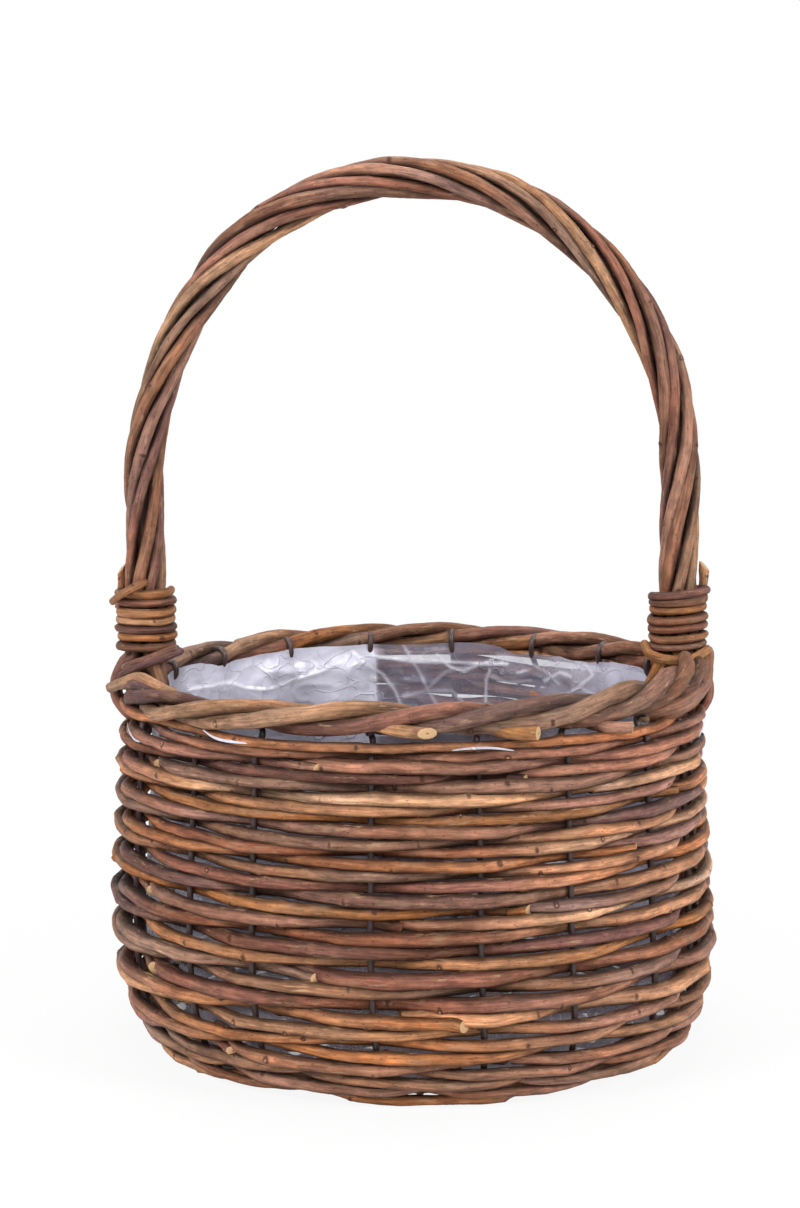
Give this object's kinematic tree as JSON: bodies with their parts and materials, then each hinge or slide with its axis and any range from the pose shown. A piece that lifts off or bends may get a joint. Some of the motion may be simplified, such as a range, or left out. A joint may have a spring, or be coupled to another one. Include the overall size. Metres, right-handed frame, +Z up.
{
  "type": "knitting basket",
  "caption": "Round willow knitting basket waled on wire stakes, with a tall twisted handle bound to its border and a clear film liner.",
  "frame": {"origin": "middle of the flat underside of the base mat", "axes": "+Z up through the handle's top, +X towards the right foot of the handle, -Y is the front in the picture"},
  "size_m": [0.2989, 0.2923, 0.4311],
  "materials": {
    "willow_brown": "bark-on, satin",
    "willow_dark": "bark-on, satin",
    "willow_tan": "bark-on, satin",
    "willow_umber": "bark-on, satin",
    "willow_russet": "bark-on, satin",
    "willow_mauve": "bark-on, satin",
    "willow_straw": "bark-on, satin",
    "willow_binding": "bark-on, satin",
    "coated_wire": "dark semi-gloss coating",
    "clear_film": "thin clear film"
  },
  "bodies": {
    "root": {"base_mat": "willow_brown", "stake_01": "coated_wire", "stake_02": "coated_wire", "stake_03": "coated_wire", "stake_04": "coated_wire", "stake_05": "coated_wire", "stake_06": "coated_wire", "stake_07": "coated_wire", "stake_08": "coated_wire", "stake_09": "coated_wire", "stake_10": "coated_wire", "stake_11": "coated_wire", "stake_12": "coated_wire", "stake_13": "coated_wire", "stake_14": "coated_wire", "stake_15": "coated_wire", "stake_16": "coated_wire", "stake_17": "coated_wire", "stake_18": "coated_wire", "wale_rod_01": "willow_umber", "wale_rod_02": "willow_straw", "wale_rod_03": "willow_tan", "wale_rod_04": "willow_mauve", "wale_rod_05": "willow_dark", "wale_rod_06": "willow_russet", "wale_rod_07": "willow_brown", "wale_rod_08": "willow_umber", "wale_rod_09": "willow_straw", "wale_rod_10": "willow_tan", "wale_rod_11": "willow_mauve", "wale_rod_12": "willow_dark", "wale_rod_13": "willow_russet", "wale_rod_14": "willow_brown", "wale_rod_15": "willow_umber", "wale_rod_16": "willow_straw", "wale_rod_17": "willow_tan", "wale_rod_18": "willow_mauve", "wale_rod_19": "willow_dark", "wale_rod_20": "willow_russet", "wale_rod_21": "willow_brown", "wale_rod_22": "willow_umber", "wale_rod_23": "willow_straw", "wale_rod_24": "willow_tan", "border_rod_back_1": "willow_brown", "border_rod_back_2": "willow_tan", "border_rod_back_3": "willow_russet", "border_rod_front_1": "willow_tan", "border_rod_front_2": "willow_russet", "border_rod_front_3": "willow_straw", "handle_core": "willow_dark", "handle_rod_1": "willow_brown", "handle_rod_2": "willow_dark", "handle_rod_3": "willow_tan", "handle_rod_4": "willow_umber", "handle_rod_5": "willow_russet", "handle_rod_6": "willow_mauve", "binding_left": "willow_binding", "binding_right": "willow_binding", "liner": "clear_film"}
  },
  "joints": []
}
